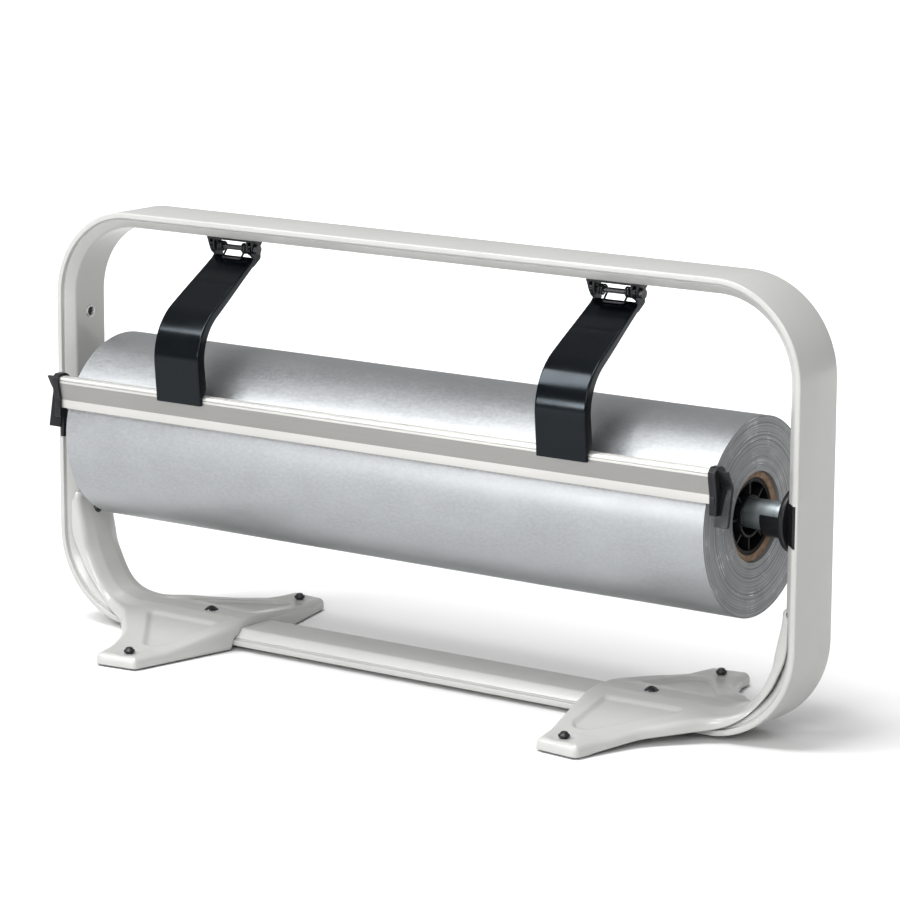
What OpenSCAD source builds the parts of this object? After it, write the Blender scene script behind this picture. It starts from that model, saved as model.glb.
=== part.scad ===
// Counter stand for a roll of gift wrap, with a sprung knife rail that tears the sheet.
// X runs along the roll, the front is -Y, and Z = 0 is the counter under the rubber feet.

/* [Frame loop] */
// Outside width of the bent loop
loop_w = 583; // [480:1:700]
// Outside height of the bent loop
loop_h = 285; // [255:1:340]
// Depth of the loop, front to back
loop_d = 45; // [40:1:60]
// Thickness of the loop's section, from its outer face to its inner face
tube_t = 11; // [10:0.5:14]
// Sheet thickness of the hollow section
wall_t = 1.5; // [1:0.1:2]
// Radius of the loop's four outer corners
corner_r = 62; // [50:1:75]
// Width of the flat inner face of the section
inner_face_w = 27; // [25:0.5:30]
// Height of the bead along both outer edges
bead_h = 3.9; // [3:0.1:4.5]
// Depth of the groove between bead and bevel
groove_d = 2; // [1.5:0.1:2.5]

/* [Feet] */
// Height of the loop's underside above the counter
loop_lift = 3.5; // [3:0.1:6]
// Sheet thickness of the pressed feet
foot_t = 2; // [1.5:0.1:2.5]
// How far a foot reaches in along the base rail from the loop's outside
foot_reach = 152.5; // [135:0.5:180]
// Distance across a foot from front toe to back toe
foot_span = 212; // [180:1:240]
// Width of a toe at its end
toe_w = 30; // [24:0.5:36]
// Distance of a toe's middle from the loop's outside
toe_inset = 117.5; // [105:0.5:130]
// Height of a toe's top above the counter
toe_top = 9.8; // [9:0.1:12]
// Height of a foot's strip up the inside of the post, above the loop's underside
strip_rise = 86.5; // [78:0.5:105]
// Radius of the bend in a foot's strip, on its face
strip_bend_r = 54; // [51:0.5:56]
// Gap between the base rail and a foot's raised saddle
saddle_gap = 2.3; // [0.5:0.1:3]
// Gap under the pressed skirt
skirt_gap = 1.5; // [1:0.1:3]
// Distance of a rubber foot's middle from the end of its toe
pad_end = 13.5; // [12:0.5:20]
// Distance of the rubber feet from the loop's outside
pad_inset = 119.5; // [110:0.5:126]
// Diameter of a rubber foot
pad_d = 14; // [10:0.5:18]

/* [Screws] */
// Shank diameter of the screws that hold the feet
screw_d = 5; // [4:0.1:6]
// Head diameter of the screws that hold the feet
head_d = 10; // [9:0.1:12]
// Head height of the screws that hold the feet
head_h = 3; // [2.4:0.1:3.6]
// Distance of the base screws from the loop's outside
base_screw_inset = 115; // [105:0.5:120]
// Height of the post screws above the counter
post_screw_z = 77; // [72:0.5:80]

/* [Roll] */
// Diameter of the full paper roll
roll_d = 125.5; // [80:0.5:135]
// Space between an end of the roll and the post beside it
roll_end_gap = 30.5; // [30.5:0.5:70]
// Distance of the axle's axis below the loop's middle
axle_drop = 4; // [0:0.1:8]
// How far the roll hangs below the axle's axis, in the wider bore of its hubs
hub_play = 2.2; // [0.5:0.1:3]
// Outside diameter of the cardboard core
core_d = 56.5; // [54:0.5:60]
// Wall of the cardboard core
core_wall = 4; // [3:0.1:6]
// Diameter of the axle tube
axle_d = 19; // [17:0.5:20]
// Wall of the axle tube
axle_wall = 1.5; // [1:0.1:2.5]
// Depth of a hub's face inside the end of the core
hub_recess = 4; // [3:0.5:8]
// Length of a hub along the axle
hub_len = 28; // [20:1:40]
// Number of spokes in a hub
hub_spokes = 8; // [5:1:12]

/* [Axle bearings] */
// Diameter of the flange that stops the axle's end
flange_d = 41; // [38:0.5:44]
// Thickness of that flange
flange_t = 4.5; // [2:0.1:5]
// Length of the open cup inward from that flange
cup_len = 17; // [12:0.5:20]
// Wall of the open cup under the axle
cup_wall = 3.4; // [2.5:0.1:4]
// Height of the block that snaps into the post
block_h = 26; // [22:0.5:30]

/* [Knife rail] */
// How much longer the aluminium rail is than the roll
rail_over = 12; // [8:0.5:14]
// Angle of the tear line above the roll's axis
tear_angle = 16.6; // [12:0.1:20]
// Gap between the tear line and the full roll
tear_gap = 0.3; // [0.2:0.05:1]
// Wall of the rail
rail_t = 1.6; // [1.4:0.1:2]
// Height from the tear line to the rail's kink
kink_h = 7; // [6:0.1:9]
// Height from the tear line to the bead along the top
slope_h = 18.4; // [17:0.1:20]
// How far the sloping face leans forward
slope_lean = 2.2; // [1:0.1:3]
// Depth of the rounded bead along the top
rail_bead_w = 9.2; // [8:0.1:10]
// Height of that bead
rail_bead_h = 4.3; // [3.5:0.1:5]
// Thickness of the tear blade
blade_t = 0.6; // [0.5:0.1:0.8]
// How far the blade stands out below the rail
blade_show = 1.4; // [1:0.1:2]
// Width of a tooth of the blade
tooth_w = 5; // [4:0.5:10]
// Depth of a tooth
tooth_h = 0.8; // [0.4:0.1:1.2]

/* [Arms] */
// Distance between the middles of the two arms
arm_spacing = 300; // [240:1:340]
// Width of an arm
arm_w = 37; // [34:0.5:42]
// Wall of an arm
arm_t = 2; // [1.8:0.1:2.4]
// Slope of an arm's upper stretch below level
arm_slope = 33; // [28:0.5:38]
// Backward lean of an arm's lower stretch
arm_lean = 5; // [3:0.5:9]
// Radius of an arm's bend at its front
bend_r = 40; // [34:0.5:44]
// Distance of an arm's face below the hinge pin
face_drop = 5.13; // [4.6:0.01:5.6]
// Depth of an arm's side walls at the hinge
side_top = 4.5; // [4:0.1:6]
// Depth of an arm's side walls at the rail
side_low = 8.5; // [7:0.1:9]
// How far an arm laps over the rail's face below the bead
lap = 6; // [4:0.5:8]

/* [Hinges] */
// Distance of the hinge pins below the top rail
pin_drop = 6.8; // [6.4:0.1:8]
// Distance of the hinge pins in front of the loop's middle
pin_front = 6.5; // [5:0.1:8]
// Diameter of a hinge pin
pin_d = 3.5; // [3:0.1:4]
// Diameter of the head at a hinge pin's right end
pin_head_d = 6.4; // [5.5:0.1:7]
// Thickness of that head
pin_head_t = 2.2; // [1.5:0.1:2.5]
// Thickness of a bracket's plate
plate_t = 2; // [1.6:0.1:2.4]
// Width of a bracket's plate
plate_w = 39; // [38:0.5:44]
// Depth of a bracket's plate
plate_d = 13; // [12.5:0.5:15]
// Thickness of a bracket's ear
ear_t = 3; // [2.5:0.1:3.2]
// Wire diameter of the torsion springs
wire_d = 1.4; // [1.2:0.1:1.4]
// Distance from turn to turn in a coil
coil_step = 1.9; // [1.85:0.05:1.95]
// Shank diameter of the bracket screws
small_screw_d = 3.5; // [3:0.1:4]
// Head diameter of the bracket screws
small_head_d = 6; // [5.5:0.1:6.5]

/* [End caps] */
// Wall of a cap around the rail
cap_wall = 1.8; // [1.5:0.1:2.2]
// Closed thickness of a cap past the rail's end
cap_end = 3; // [2:0.1:4]
// Width of the finger grip beside a cap
grip_w = 10; // [8:0.5:10.5]
// Thickness of the finger grip
grip_t = 2.4; // [2:0.1:3]
// Height of the finger grip above its waist
grip_up = 10.5; // [8:0.5:14]
// Height of the finger grip below its waist
grip_down = 24; // [18:0.5:28]
// How far the grip leans out above its waist
grip_out_top = 5.6; // [4:0.1:7]
// How far the grip leans out below its waist
grip_out_low = 4.3; // [3:0.1:6]
// How far the grip's waist lies behind the rail
grip_back = 3; // [2:0.1:4]
// Height of the grip's waist above the rail's kink
grip_rise = 4.7; // [3:0.1:6]
// How far a cap reaches down past the tear line
cap_tail = 5.3; // [4:0.1:8]

/* [Hidden] */
$fn = 64;

// Overrun of the cuts
over = 1;
// Gap between seated pieces
seat = 0.2;
// Radial clearance of turning fits
run_fit = 0.05;
// Clearance between pieces that pass each other
pass_gap = 0.3;
// Clearance around a screw's shank
shank_gap = 0.1;

// Chamfer of the loop's outer edges
edge_c = 1;
// Width of the groove beside the bead
groove_w = 0.9;
// Rounding between the bevel and the inner face
land_u = 0.7;
land_v = 1.8;
// Radius of the hole in each post, and its distance below the loop's top
post_hole_r = 3;
post_hole_drop = 74.5;
half_turn = 180;
half_w = loop_w / 2;
half_d = loop_d / 2;
top_z = loop_lift + loop_h;
post_hole_z = top_z - post_hole_drop;
roll_len = loop_w - 2 * tube_t - 2 * roll_end_gap;
rail_len = roll_len + rail_over;
inner_x = half_w - tube_t;

// Section of the loop as [distance inward, distance across the depth], front half first
half_section = [[0, -half_d + edge_c], [edge_c, -half_d], [bead_h, -half_d],
    [bead_h + groove_w, -half_d + groove_d],
    [tube_t - land_u, -inner_face_w / 2 - land_v], [tube_t, -inner_face_w / 2]];
section = concat(half_section, [for (i = [len(half_section) - 1:-1:0])
    [half_section[i][0], -half_section[i][1]]]);
// The hollow leaves the beads solid, as folded hems
hollow_v = half_d - groove_d - wall_t;
hollow_in = inner_face_w / 2 + land_v - wall_t;
hollow_section = [[wall_t, -hollow_v], [bead_h + wall_t / 2, -hollow_v],
    [tube_t - wall_t, -hollow_in], [tube_t - wall_t, hollow_in],
    [bead_h + wall_t / 2, hollow_v], [wall_t, hollow_v]];

axle_z = loop_lift + loop_h / 2 - axle_drop;
axis_z = axle_z - hub_play;
roll_r = roll_d / 2;
core_r = core_d / 2;
axle_r = axle_d / 2;
hub_x = roll_len / 2 - hub_recess;
hub_ring_t = 2.5;
hub_sleeve_t = 1.5;
hub_bore_r = axle_r + hub_play + run_fit;
sleeve_r = hub_bore_r + hub_sleeve_t;
spoke_t = 1.6;
hub_web_t = 2;

// Cup: open at the top, high at the front and low at the back, where the axle lifts out
cup_lip = 12;
cup_low = 148;
cup_arc = cup_low + cup_lip;
flange_x = inner_x - seat - flange_t;
cup_x = flange_x - cup_len;
axle_len = 2 * (flange_x - seat);
notch_u = wall_t;

// Foot outline for the right foot, counter-clockwise from the inner front corner
foot_in_x = half_w - foot_reach;
toe_x = half_w - toe_inset;
shoulder_in = 3.5;
shoulder_x = half_w - corner_r - shoulder_in;
shoulder_y = half_d - groove_d;
// Radii of the outline's corners at the cut-out, the toes and the necks
cut_r = 4;
toe_r = 9;
neck_r = 14;
foot_corner_rs = [cut_r, toe_r, toe_r, neck_r, neck_r, toe_r, toe_r, cut_r];
toe_y = foot_span / 2;
neck_y = half_d + edge_c;
foot_pts = [[foot_in_x, -neck_y], [toe_x - toe_w / 2, -toe_y], [toe_x + toe_w / 2, -toe_y],
    [shoulder_x, -shoulder_y], [shoulder_x, shoulder_y], [toe_x + toe_w / 2, toe_y],
    [toe_x - toe_w / 2, toe_y], [foot_in_x, neck_y]];
saddle_top = loop_lift + tube_t + saddle_gap + foot_t;
// Flat length of a toe, and half the flat width over the base rail
toe_flat = 26;
saddle_flat = inner_face_w / 2 + land_v;
// Share of the bevel that the strip's edges leave bare
strip_bare_share = 0.36;
strip_lap = 7;
strip_start_x = shoulder_x - strip_lap;
strip_top = loop_lift + strip_rise;
// The strip stands off the loop in the corner, and lies on the post above it
strip_off = tube_t + seat + foot_t;
strip_r = strip_bend_r + strip_off;
strip_base = saddle_top - seat - strip_off;
pad_x = half_w - pad_inset;
pad_under = toe_top - foot_t;
pad_y = foot_span / 2 - pad_end;
base_screw_x = half_w - base_screw_inset;
screw_reach = 9;

// Tear line, and the rail's section as [depth, height]
tip_y = -(roll_r + tear_gap) * cos(tear_angle);
tip_z = axis_z + (roll_r + tear_gap) * sin(tear_angle);
// Share of the rail's wall in front of the blade's slot
slot_front_share = 0.375;
web_front = tip_y - blade_t - rail_t * slot_front_share;
web_back = web_front + rail_t;
web_low = tip_z + blade_show;
kink_z = tip_z + kink_h;
slope_z = tip_z + slope_h;
bead_r = rail_bead_h / 2;
bead_front = web_front - slope_lean;
bead_mid_z = slope_z + bead_r;
blade_h = 6.2;
rail_outline = [[web_front, web_low], [web_back, web_low], [web_back, kink_z],
    [web_back - slope_lean, bead_mid_z], [web_front - slope_lean, bead_mid_z],
    [web_front, kink_z]];

// Arm: its front line falls from the hinge, bends and leans back to the rail
pin_y = -pin_front;
pin_z = top_z - tube_t - pin_drop;
arm_x = arm_spacing / 2;
low_front = bead_front - pass_gap - arm_t / cos(arm_lean);
// The bend lies where the upper stretch passes below the pin at the face's distance
bend_room = (pin_z - bead_mid_z - bend_r * sin(arm_lean)) * cos(arm_slope)
    - (pin_y - low_front - bend_r * cos(arm_lean)) * sin(arm_slope) - bend_r - face_drop;
arm_drop = bend_room / (cos(arm_slope) + tan(arm_lean) * sin(arm_slope));
bend_low_z = bead_mid_z + arm_drop;
bend_low_y = low_front - arm_drop * tan(arm_lean);
bend_y = bend_low_y + bend_r * cos(arm_lean);
bend_z = bend_low_z + bend_r * sin(arm_lean);
// Distance from the bend's centre to the pin along the upper stretch
pin_s = (pin_y - bend_y) * cos(arm_slope) + (pin_z - bend_z) * sin(arm_slope);
lobe_r = pin_drop - plate_t - pass_gap;
// How far the face starts past the pin
face_start = 2.7;
arm_end_z = slope_z - lap + rail_bead_h;
side_end_z = slope_z + rail_bead_h + pass_gap;
bend_steps = 16;

// Bracket and spring, counted out from an arm's middle
cheek_in = arm_w / 2 - arm_t;
ear_out = cheek_in - pass_gap;
ear_in = ear_out - ear_t;
coil_gap = 0.5;
coil_r = pin_d / 2 + wire_d / 2 + coil_gap;
coil_out = ear_in - pass_gap - wire_d / 2;
small_head_h = 1.8;
small_screw_x = 5;
small_screw_reach = 5;
plate_lap = 4;
plate_front = pin_y - plate_lap;
small_screw_y = plate_front + plate_d - small_head_d / 2;

// Finger grip: its front bends at a waist, and leans out above and below it
waist_y = web_back + grip_back;
waist_z = kink_z + grip_rise;
grip_pts = [[waist_y - grip_out_low, waist_z - grip_down],
    [waist_y - grip_out_low + grip_t, waist_z - grip_down], [waist_y + grip_t, waist_z],
    [waist_y - grip_out_top + grip_t, waist_z + grip_up], [waist_y - grip_out_top, waist_z + grip_up],
    [waist_y, waist_z]];
cap_low_z = tip_z - cap_tail;

// Offset of a closed counter-clockwise outline: positive is outward
function unit(v) = v / norm(v);
function outward(a, b) = let (e = unit(b - a)) [e[1], -e[0]];
function grown(p, d) = [for (i = [0:len(p) - 1])
    let (a = p[(i + len(p) - 1) % len(p)], b = p[i], c = p[(i + 1) % len(p)],
        m = outward(a, b), n = outward(b, c))
    b + (m + n) * d / (1 + m * n)];

// Outline with each corner replaced by an arc
function corner_arc(a, b, c, r) = let (u = unit(a - b), w = unit(c - b),
    half = acos(u * w) / 2, reach = r / tan(half), mid = unit(u + w),
    centre = b + mid * r / sin(half), from = b + u * reach - centre,
    turn = half_turn - 2 * half, hand = (u[0] * w[1] - u[1] * w[0]) > 0 ? -1 : 1)
    [for (k = [0:4]) let (t = hand * turn * k / 4)
        centre + [from[0] * cos(t) - from[1] * sin(t), from[0] * sin(t) + from[1] * cos(t)]];
function rounded(p, rs) = [for (i = [0:len(p) - 1])
    each corner_arc(p[(i + len(p) - 1) % len(p)], p[i], p[(i + 1) % len(p)], rs[i])];

// Section swept along X
module along_x(from_x, to_x) {
    translate([from_x, 0, 0]) rotate([90, 0, 90]) linear_extrude(to_x - from_x) children();
}

// Cylinder and tube along X
module rod_x(r, from_x, to_x) {
    translate([from_x, 0, 0]) rotate([0, 90, 0]) cylinder(h = to_x - from_x, r = r);
}

// A section around one lower corner at a bend radius, from the base rail up a post
module corner_sweep(p, r, base_z, rail_from, post_to) {
    turned = [for (q = p) [r - q[0], q[1]]];
    centre_x = half_w - r;
    centre_z = base_z + r;
    translate([centre_x, 0, centre_z]) rotate([90, 0, 0])
        rotate_extrude(angle = 90, start = -90) polygon(turned);
    translate([rail_from, 0, base_z]) rotate([90, 0, 90])
        linear_extrude(centre_x - rail_from) polygon([for (q = p) [q[1], q[0]]]);
    translate([half_w, 0, centre_z])
        linear_extrude(post_to - centre_z) polygon([for (q = p) [-q[0], q[1]]]);
}

// The four quarters of the loop
module loop_sweep(p) {
    mid_z = loop_lift + loop_h / 2;
    for (side = [0, 1], up = [0, 1])
        translate([0, 0, mid_z]) mirror([side, 0, 0]) mirror([0, 0, up])
            translate([0, 0, -mid_z]) corner_sweep(p, corner_r, loop_lift, 0, mid_z);
}

module frame_loop() {
    color("gainsboro") difference() {
        loop_sweep(section);
        loop_sweep(hollow_section);
        for (side = [-1, 1]) {
            // Opening for the bearing's block, through the beads to the outer sheet
            translate([side * (half_w - (notch_u + tube_t + over) / 2), 0, axle_z])
                cube([tube_t + over - notch_u, loop_d + 2 * over, block_h + 2 * seat],
                    center = true);
            translate([side * (inner_x - over), 0, post_hole_z])
                rotate([0, side * 90, 0]) cylinder(h = wall_t + 2 * over, r = post_hole_r);
            translate([side * (inner_x - over), 0, post_screw_z])
                rotate([0, side * 90, 0])
                cylinder(h = wall_t + 2 * over, r = screw_d / 2 + shank_gap);
            translate([side * base_screw_x, 0, loop_lift + tube_t - wall_t - over])
                cylinder(h = wall_t + 2 * over, r = screw_d / 2 + shank_gap);
            for (dx = [-1, 1])
                translate([side * arm_x + dx * small_screw_x, small_screw_y,
                    top_z - tube_t - over])
                    cylinder(h = wall_t + 2 * over, r = small_screw_d / 2 + shank_gap);
        }
    }
}

// Pressed foot: a tray with a skirt, a saddle over the base rail and a strip up the post
module foot_plan(p, from_z, to_z) {
    translate([0, 0, from_z]) linear_extrude(to_z - from_z) polygon(p);
}

module foot_roof(drop) {
    y1 = toe_y + over;
    y2 = toe_y - toe_flat;
    low = skirt_gap - (drop > 0 ? over : 0);
    along_x(foot_in_x - over, half_w - corner_r)
        polygon([[-y1, low], [y1, low], [y1, toe_top - drop], [y2, toe_top - drop],
            [saddle_flat, saddle_top - drop], [-saddle_flat, saddle_top - drop],
            [-y2, toe_top - drop], [-y1, toe_top - drop]]);
}

module foot_strip() {
    near = grown(section, seat);
    far = grown(section, seat + foot_t);
    function on_bevel(p, i, j) = p[i] + (p[j] - p[i]) * strip_bare_share;
    strip = [on_bevel(far, 3, 4), far[4], far[5], far[6], far[7], on_bevel(far, 8, 7),
        on_bevel(near, 8, 7), near[7], near[6], near[5], near[4], on_bevel(near, 3, 4)];
    corner_sweep(strip, strip_r, strip_base, strip_start_x, strip_top);
}

module foot() {
    inner = grown(foot_pts, -foot_t);
    inner_rs = [for (r = foot_corner_rs) r - foot_t / 2];
    color("gainsboro") difference() {
        union() {
            difference() {
                intersection() {
                    foot_plan(rounded(foot_pts, foot_corner_rs), skirt_gap, saddle_top);
                    foot_roof(0);
                }
                intersection() {
                    foot_plan(rounded(inner, inner_rs), skirt_gap - over, saddle_top);
                    foot_roof(foot_t);
                }
                // Cut-out of the skirt over the base rail
                along_x(foot_in_x - over, half_w - corner_r)
                    polygon([for (q = grown(section, seat)) [q[1], q[0] + loop_lift]]);
                translate([foot_in_x - over, -neck_y + foot_t, skirt_gap - over])
                    cube([foot_reach, 2 * (neck_y - foot_t), loop_lift - skirt_gap + 2 * over]);
            }
            foot_strip();
        }
        translate([base_screw_x, 0, saddle_top - foot_t - over])
            cylinder(h = foot_t + 2 * over, r = screw_d / 2 + shank_gap);
        translate([inner_x - foot_t - seat - over, 0, post_screw_z]) rotate([0, 90, 0])
            cylinder(h = foot_t + 2 * over, r = screw_d / 2 + shank_gap);
        for (side = [-1, 1])
            translate([pad_x, side * pad_y, toe_top - foot_t - over])
                cylinder(h = foot_t + 2 * over, r = stem_r + shank_gap);
    }
}

module left_foot() {
    mirror([1, 0, 0]) foot();
}

module right_foot() {
    foot();
}

// Rubber foot: a pad under the toe and a nipple pulled up through it
stem_r = 2.4;
nipple_r = 3.4;
nipple_h = 1.2;
tip_r = 1.9;
tip_h = 1.3;
tip_share = 0.8;
module rubber_foot() {
    rotate_extrude() polygon([[0, 0], [pad_d / 2 - edge_c, 0], [pad_d / 2, edge_c],
        [pad_d / 2 - edge_c, pad_under - seat], [stem_r, pad_under - seat],
        [stem_r, toe_top + seat], [nipple_r, toe_top + seat],
        [nipple_r - nipple_h / 3, toe_top + nipple_h], [tip_r, toe_top + nipple_h],
        [tip_r * tip_share, toe_top + nipple_h + tip_h], [0, toe_top + nipple_h + tip_h]]);
}

module rubber_feet() {
    color("dimgray") for (side = [-1, 1], end = [-1, 1])
        translate([side * pad_x, end * pad_y, 0]) rubber_foot();
}

// Domed screw along +Z with its head's underside at the origin
module domed_screw(shank_r, reach, r, h, key) {
    dome_r = (r * r + h * h) / (2 * h);
    difference() {
        intersection() {
            translate([0, 0, h - dome_r]) sphere(r = dome_r);
            cylinder(h = h + over, r = r);
        }
        translate([0, 0, h / 2]) cylinder(h = h, r = key, $fn = 6);
    }
    translate([0, 0, -reach]) cylinder(h = reach, r = shank_r);
}

module foot_screws() {
    color("dimgray") for (side = [-1, 1]) {
        translate([side * base_screw_x, 0, saddle_top])
            domed_screw(screw_d / 2, screw_reach, head_d / 2, head_h, head_d / 5);
        translate([side * (inner_x - seat - foot_t), 0, post_screw_z]) rotate([0, -side * 90, 0])
            domed_screw(screw_d / 2, screw_reach, head_d / 2, head_h, head_d / 5);
    }
}

// Axle bearing: a block in the post, a flange and an open cup
module bearing() {
    block_back = half_w - notch_u - seat;
    bevel_x = half_w - tube_t + land_u;
    bevel_y = inner_face_w / 2 + land_v;
    color("dimgray") {
        translate([0, 0, axle_z - block_h / 2]) linear_extrude(block_h)
            polygon([[flange_x + flange_t / 2, -flange_d / 3], [bevel_x, -bevel_y],
                [block_back, -half_d + edge_c], [block_back, half_d - edge_c],
                [bevel_x, bevel_y], [flange_x + flange_t / 2, flange_d / 3]]);
        translate([0, 0, axle_z]) {
            rod_x(flange_d / 2, flange_x, flange_x + flange_t);
            translate([cup_x, 0, 0]) rotate([90, 0, 90])
                rotate_extrude(angle = cup_arc, start = half_turn - cup_lip)
                translate([axle_r + 2 * run_fit, 0])
                square([cup_wall, flange_x - cup_x + flange_t / 2]);
        }
    }
}

module left_bearing() {
    mirror([1, 0, 0]) bearing();
}

module right_bearing() {
    bearing();
}

module axle_tube() {
    color("silver") translate([0, 0, axle_z]) difference() {
        rod_x(axle_r, -axle_len / 2, axle_len / 2);
        rod_x(axle_r - axle_wall, -axle_len / 2 - over, axle_len / 2 + over);
    }
}

// Spoked hub between the axle and the core
module hub() {
    core_in = core_r - core_wall;
    color("dimgray") translate([0, 0, axis_z]) difference() {
        union() {
            difference() {
                rod_x(core_in - seat, hub_x - hub_len, hub_x);
                rod_x(core_in - seat - hub_ring_t, hub_x - hub_len + hub_web_t, hub_x + over);
            }
            rod_x(sleeve_r, hub_x - hub_len, hub_x);
            for (i = [0:hub_spokes - 1]) rotate([i * 360 / hub_spokes, 0, 0])
                translate([hub_x - hub_len + hub_web_t / 2, -spoke_t / 2, sleeve_r - hub_sleeve_t / 2])
                cube([hub_len - hub_web_t, spoke_t,
                    core_in - seat - hub_ring_t / 2 - sleeve_r + hub_sleeve_t / 2]);
        }
        rod_x(hub_bore_r, hub_x - hub_len - over, hub_x + over);
    }
}

module left_hub() {
    mirror([1, 0, 0]) hub();
}

module right_hub() {
    hub();
}

module roll_core() {
    color("burlywood") translate([0, 0, axis_z]) difference() {
        rod_x(core_r - run_fit, -roll_len / 2, roll_len / 2);
        rod_x(core_r - core_wall, -roll_len / 2 - over, roll_len / 2 + over);
    }
}

module paper_roll() {
    color("lightsteelblue") translate([0, 0, axis_z]) difference() {
        rod_x(roll_r, -roll_len / 2, roll_len / 2);
        rod_x(core_r, -roll_len / 2 - over, roll_len / 2 + over);
    }
}

// Hinge bracket under the top rail: a plate with two ears around the pin
module bracket() {
    plate_z = top_z - tube_t - seat / 2 - plate_t;
    ear_r = lobe_r - pass_gap;
    color("dimgray") difference() {
        union() {
            translate([-plate_w / 2, plate_front, plate_z]) cube([plate_w, plate_d, plate_t]);
            for (side = [-1, 1]) translate([side * (ear_in + ear_out) / 2, 0, 0]) {
                translate([-ear_t / 2, pin_y, pin_z]) rod_x(ear_r, 0, ear_t);
                translate([-ear_t / 2, pin_y - ear_r, pin_z])
                    cube([ear_t, 2 * ear_r, plate_z + plate_t / 2 - pin_z]);
            }
        }
        translate([0, pin_y, pin_z]) rod_x(pin_d / 2 + run_fit / 5, -arm_w, arm_w);
        for (dx = [-1, 1]) translate([dx * small_screw_x, small_screw_y, plate_z - over])
            cylinder(h = plate_t + 2 * over, r = small_screw_d / 2 + shank_gap);
    }
}

module left_bracket() {
    translate([-arm_x, 0, 0]) bracket();
}

module right_bracket() {
    translate([arm_x, 0, 0]) bracket();
}

module bracket_screws() {
    color("gray") for (side = [-1, 1], dx = [-1, 1])
        translate([side * arm_x + dx * small_screw_x, small_screw_y,
            top_z - tube_t - seat / 2 - plate_t])
            rotate([180, 0, 0])
            domed_screw(small_screw_d / 2, small_screw_reach, small_head_d / 2, small_head_h,
                small_head_d / 5);
}

module hinge_pin() {
    end_x = arm_w / 2 - seat;
    head_x = arm_w / 2 + seat;
    color("darkgray") translate([0, pin_y, pin_z]) {
        rod_x(pin_d / 2, -end_x, head_x + pin_head_t / 2);
        rod_x(pin_head_d / 2, head_x, head_x + pin_head_t);
    }
}

module left_hinge_pin() {
    translate([-arm_x, 0, 0]) hinge_pin();
}

module right_hinge_pin() {
    translate([arm_x, 0, 0]) hinge_pin();
}

// Torsion spring: two coils on the pin, joined by a bar that lies on the arm's face
exit_angle = arm_slope - 90;
coil_turns = 2 + (90 - exit_angle) / 360;
coil_rings = 8 * coil_turns;
bar_bend = wire_d;
bend_share = 0.3;
bar_s = 6.2;
face_dir = [0, -cos(arm_slope), -sin(arm_slope)];
face_up = [0, -sin(arm_slope), cos(arm_slope)];
coil_in = coil_out - coil_step * coil_turns;
bar_centre = face_dir * bar_s - face_up * (face_drop - wire_d / 2 - seat);
coil_half = [for (k = [0:ceil(coil_rings)]) let (t = min(k / coil_rings, 1),
    a = 90 - t * 360 * coil_turns)
    [coil_out - t * coil_step * coil_turns, coil_r * cos(a), coil_r * sin(a)]];
leg_end = [coil_in, 0, 0] + bar_centre;
spring_half = concat([[coil_out, -wire_d, coil_r]], coil_half,
    [leg_end - face_dir * bar_bend, leg_end - (face_dir * bar_bend + [bar_bend, 0, 0]) * bend_share,
        leg_end - [bar_bend, 0, 0]]);
spring_path = concat(spring_half,
    [for (i = [len(spring_half) - 1:-1:0]) [-spring_half[i][0], spring_half[i][1], spring_half[i][2]]]);
// Least gap of the wire to itself, between points more than half a turn apart
spring_gap = min([for (i = [0:len(spring_path) - 1], j = [i + 5:1:len(spring_path) - 1])
    norm(spring_path[i] - spring_path[j])]) - wire_d;
echo(spring_gap = spring_gap);

function tangent(p, i) = unit(p[min(i + 1, len(p) - 1)] - p[max(i - 1, 0)]);
function across(v, t) = unit(v - (v * t) * t);
function carried(p, i, v) = i == len(p) ? []
    : let (w = across(v, tangent(p, i))) concat([w], carried(p, i + 1, w));

// Tube of six sides along a path
module wire(p, d) {
    sides = 6;
    first = carried(p, 0, [0.1, 0.2, 1]);
    points = [for (i = [0:len(p) - 1]) let (t = tangent(p, i), a = first[i], b = cross(t, a))
        each [for (k = [0:sides - 1]) p[i] + (a * cos(k * 360 / sides) + b * sin(k * 360 / sides))
            * d / 2]];
    last = (len(p) - 1) * sides;
    faces = concat(
        [for (k = [1:sides - 2]) [0, k + 1, k]],
        [for (k = [1:sides - 2]) [last, last + k, last + k + 1]],
        [for (i = [0:len(p) - 2], k = [0:sides - 1])
            [i * sides + k, i * sides + (k + 1) % sides, (i + 1) * sides + (k + 1) % sides]],
        [for (i = [0:len(p) - 2], k = [0:sides - 1])
            [i * sides + k, (i + 1) * sides + (k + 1) % sides, (i + 1) * sides + k]]);
    polyhedron(points = points, faces = [for (f = faces) [f[0], f[2], f[1]]]);
}

module left_spring() {
    color("dimgray") translate([-arm_x, pin_y, pin_z]) wire(spring_path, wire_d);
}

module right_spring() {
    color("dimgray") translate([arm_x, pin_y, pin_z]) wire(spring_path, wire_d);
}

// Outline of an arm's side between its front and a line at a depth that may grow downward
function bend_point(a, depth) = [bend_y, bend_z] + (bend_r - depth) * [cos(a), sin(a)];
bend_from = 90 + arm_slope;
bend_to = half_turn + arm_lean;
function arm_line(top_s, depth_top, depth_low, end_z) = concat(
    [bend_point(bend_from, depth_top) + top_s * [cos(arm_slope), sin(arm_slope)]],
    [for (k = [0:bend_steps]) let (t = k / bend_steps)
        bend_point(bend_from + (bend_to - bend_from) * t,
            depth_top + (depth_low - depth_top) * t)],
    let (low = bend_point(bend_to, depth_low))
        [[low[0] + (low[1] - end_z) * tan(arm_lean), end_z]]);
function backwards(p) = [for (i = [len(p) - 1:-1:0]) p[i]];
face_s = pin_s - face_start;

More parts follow.
